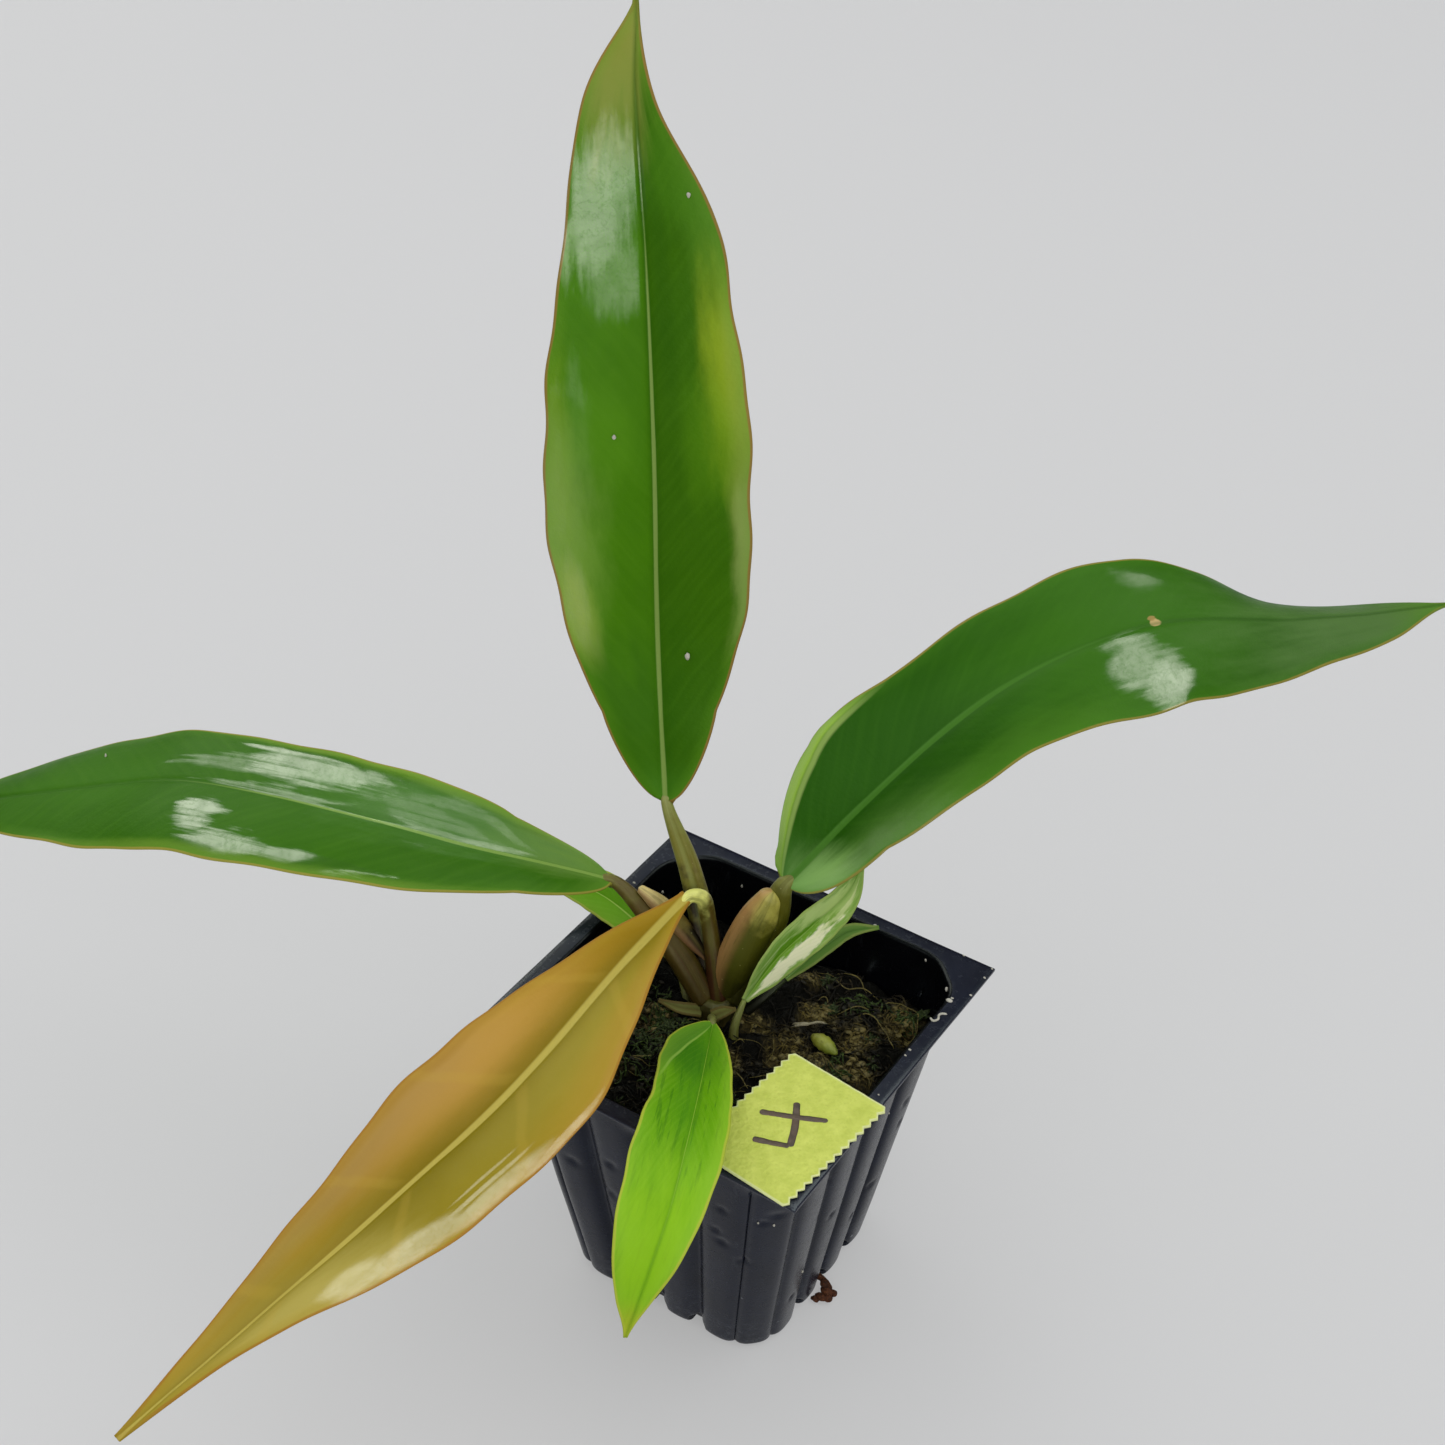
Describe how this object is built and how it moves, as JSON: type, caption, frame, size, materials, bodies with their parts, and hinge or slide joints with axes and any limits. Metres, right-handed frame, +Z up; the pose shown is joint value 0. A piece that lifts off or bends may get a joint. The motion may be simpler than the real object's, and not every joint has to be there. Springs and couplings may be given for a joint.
{
  "type": "potted philodendron plant",
  "caption": "Young marbled philodendron with long lance-shaped leaves, rooted in moss in a square fluted nursery pot with a tape label on its rim.",
  "frame": {"origin": "centre of the pot's flat underside", "axes": "+Z up; the pot's sides run along X and Y; the label lies on the rim corner at +X, -Y"},
  "size_m": [0.3039, 0.3156, 0.2846],
  "materials": {
    "pot": "satin black moulded sheet",
    "moss": "damp long-fibre moss, dark olive and brown",
    "roots": "brown root skin",
    "stem": "olive stem",
    "petiole": "olive leaf stalk, half gloss",
    "sheath": "pale olive to pinkish sheath",
    "bract": "dry cream scale",
    "leaf": "glossy deep green blade, pale midrib, brown margin",
    "caramel": "glossy caramel and olive blade, yellow midrib",
    "young": "bright green young blade, yellow margin",
    "variegated": "green blade with cream stripes",
    "bud": "yellow-green bud",
    "tape": "yellow-green crepe paper tape"
  },
  "bodies": {
    "root": {"pot": "pot", "crown": "stem", "petiole_caramel": "petiole", "petiole_back": "petiole", "petiole_right": "petiole", "petiole_left": "petiole", "sheath_right": "sheath", "sheath_left": "sheath", "stalk_front": "petiole", "blade_front": "young", "stalk_variegated": "petiole", "blade_variegated": "variegated", "stalk_narrow": "petiole", "blade_narrow": "young", "stalk_rear": "petiole", "blade_rear": "young", "blade_back": "leaf", "blade_right": "leaf", "blade_left": "leaf", "blade_caramel": "caramel", "bract_left": "bract", "bract_front": "bract", "roots": "roots", "moss": "moss", "label": "tape", "bud": "bud"}
  },
  "joints": []
}
